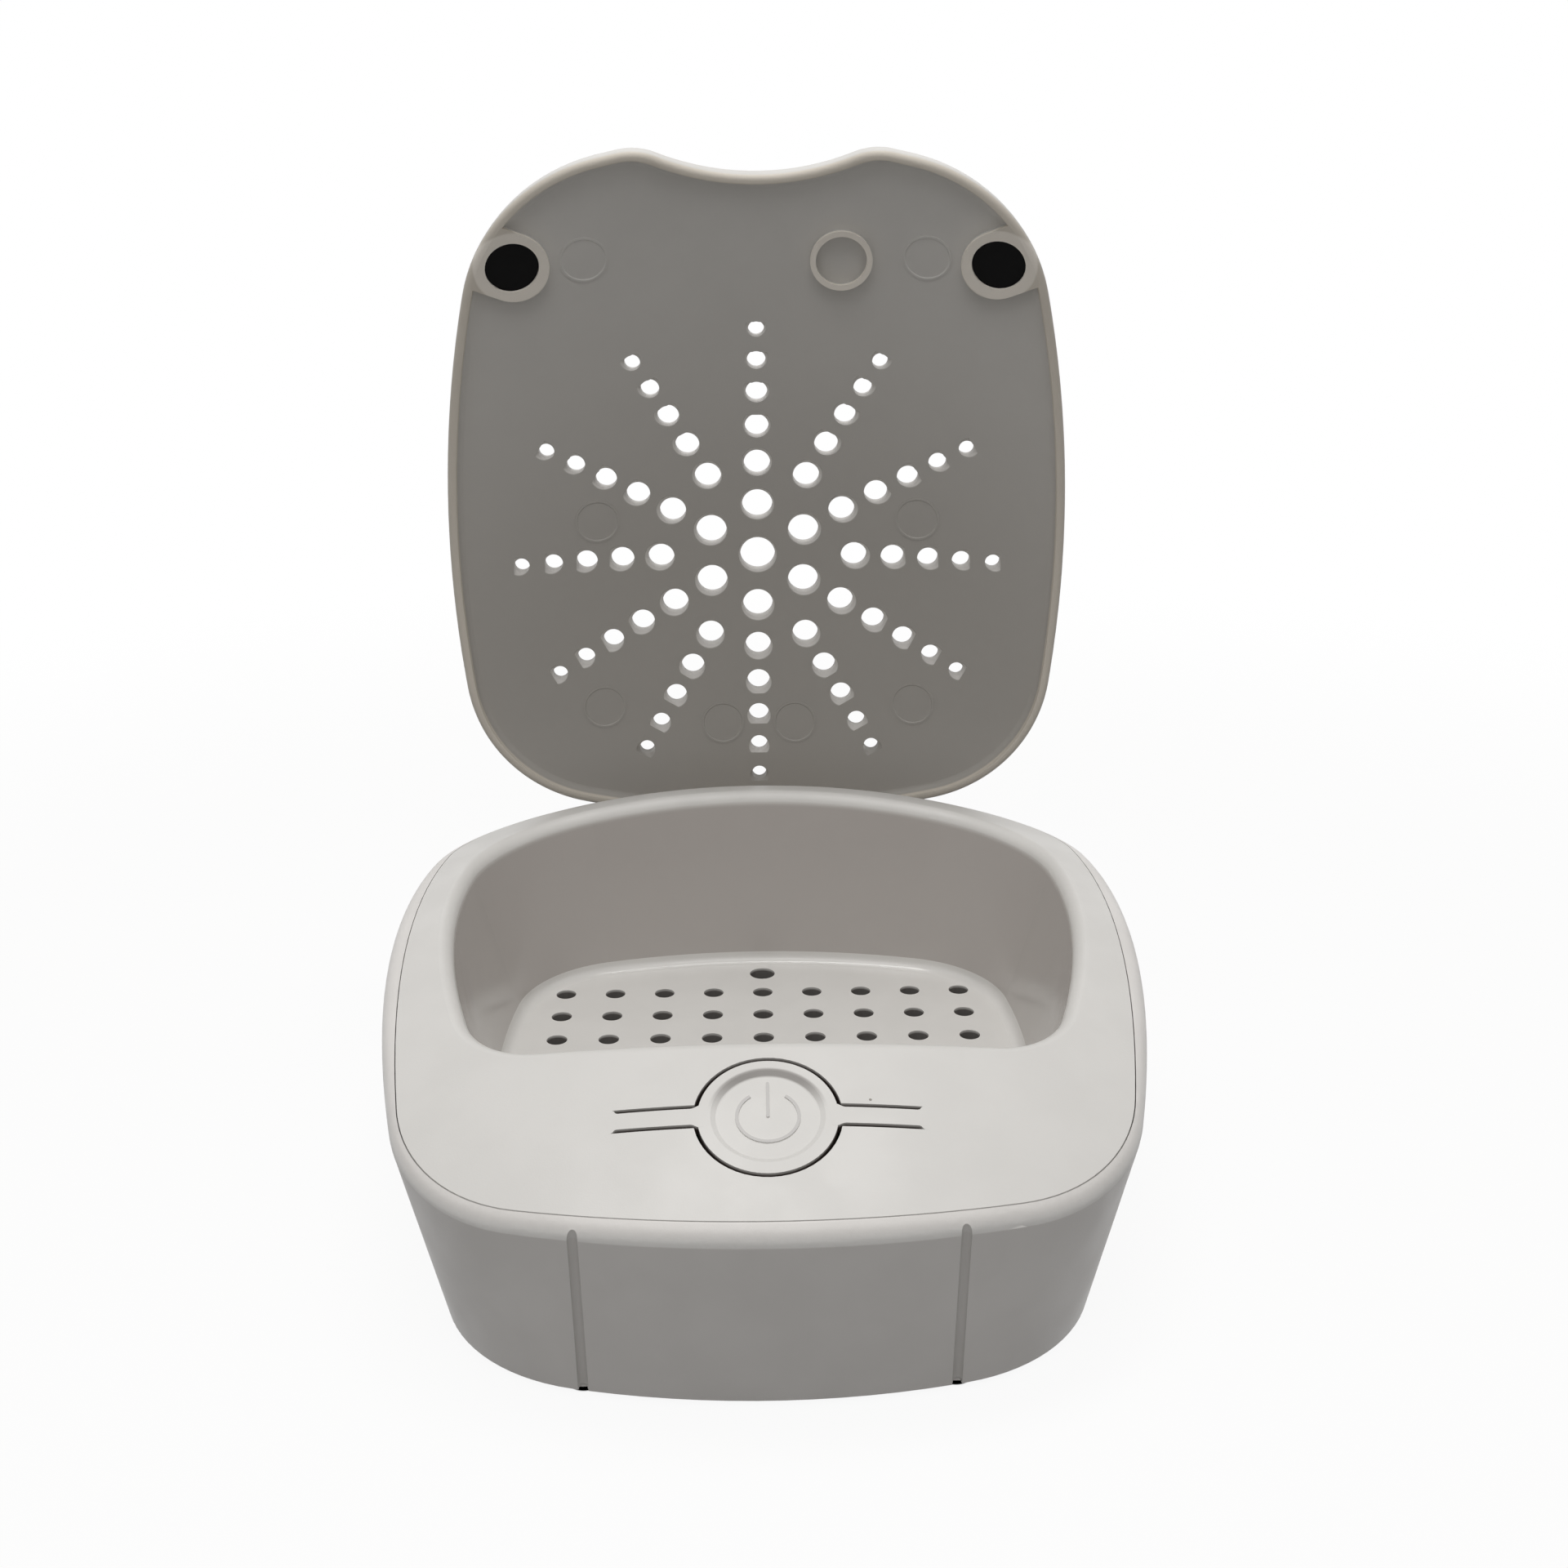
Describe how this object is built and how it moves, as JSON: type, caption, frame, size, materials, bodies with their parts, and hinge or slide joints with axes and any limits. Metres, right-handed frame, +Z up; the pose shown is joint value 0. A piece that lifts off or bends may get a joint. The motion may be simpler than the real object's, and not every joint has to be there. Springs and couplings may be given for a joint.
{
  "type": "hearing aid dryer",
  "caption": "Small countertop dryer: rounded white tub with a warmed, holed tray in its bowl, a slotted rocker power button in front and a domed, holed lid hinged at the back.",
  "frame": {"origin": "middle of the tub's flat underside; the feet reach 0.6 mm below it", "axes": "+Z up, +Y to the back where the lid is hinged, +X to the right seen from the front"},
  "size_m": [0.0802, 0.1027, 0.1068],
  "materials": {
    "white_plastic": "fine satin grain",
    "tray_plastic": "gloss",
    "magnet": "black coated magnet, taken as painted metal",
    "steel": "plated",
    "circuit_board": "solder mask",
    "black_plastic": "moulded",
    "led_lens": "clear resin",
    "aluminium": "rolled sheet",
    "heater_pad": "silicone pad",
    "fuse_body": "tinned can",
    "lead_sleeve": "silicone sleeve",
    "foot_rubber": "soft rubber"
  },
  "bodies": {
    "base": {"lower_housing": "white_plastic", "top_cover": "white_plastic", "drying_tray": "tray_plastic", "hinge_pin": "steel", "keeper_left": "steel", "keeper_right": "steel", "control_board": "circuit_board", "switch_body": "black_plastic", "indicator_led": "led_lens", "controller_chip": "black_plastic", "heater_plate": "aluminium", "heater_element": "heater_pad", "thermal_fuse": "fuse_body", "heat_shield": "aluminium", "socket_board": "circuit_board", "power_socket": "steel", "socket_tongue": "black_plastic", "power_leads": "lead_sleeve", "heater_leads": "lead_sleeve", "cover_screws": "steel", "board_screws": "steel", "heater_screws": "steel", "socket_screws": "steel", "foot_front_left": "foot_rubber", "foot_front_right": "foot_rubber", "foot_rear_left": "foot_rubber", "foot_rear_right": "foot_rubber"},
    "lid": {"lid": "white_plastic", "lid_magnet_left": "magnet", "lid_magnet_right": "magnet"},
    "button": {"power_button": "white_plastic"},
    "arm_left": {"button_arm_left": "white_plastic"},
    "arm_right": {"button_arm_right": "white_plastic"},
    "plunger": {"switch_plunger": "black_plastic"}
  },
  "joints": [
    {"name": "lid_hinge", "type": "hinge", "parent": "base", "child": "lid", "pos_m": [0, 0.0442, 0.0193], "axis": [1, 0, 0], "range_deg": [0, 82.05]},
    {"name": "button_press", "type": "slide", "parent": "base", "child": "button", "axis": [0, 0.3675, -0.93], "range_m": [0, 0.00045], "stiffness_N_per_m": 800},
    {"name": "arm_left_bend", "type": "hinge", "parent": "base", "child": "arm_left", "pos_m": [-0.01388, -0.03337, 0.02287], "axis": [0, 0.93, 0.3675], "range_deg": [0, 3.41]},
    {"name": "arm_right_bend", "type": "hinge", "parent": "base", "child": "arm_right", "pos_m": [0.01388, -0.03337, 0.02287], "axis": [0, -0.93, -0.3675], "range_deg": [0, 3.41]},
    {"name": "plunger_press", "type": "slide", "parent": "base", "child": "plunger", "axis": [0, 0.3675, -0.93], "range_m": [0, 0.00045]}
  ],
  "couplings": [
    {"joint": "arm_left_bend", "follows": "button_press", "rad_per_m": 131.51},
    {"joint": "arm_right_bend", "follows": "button_press", "rad_per_m": 131.51},
    {"joint": "plunger_press", "follows": "button_press", "ratio": 1}
  ]
}
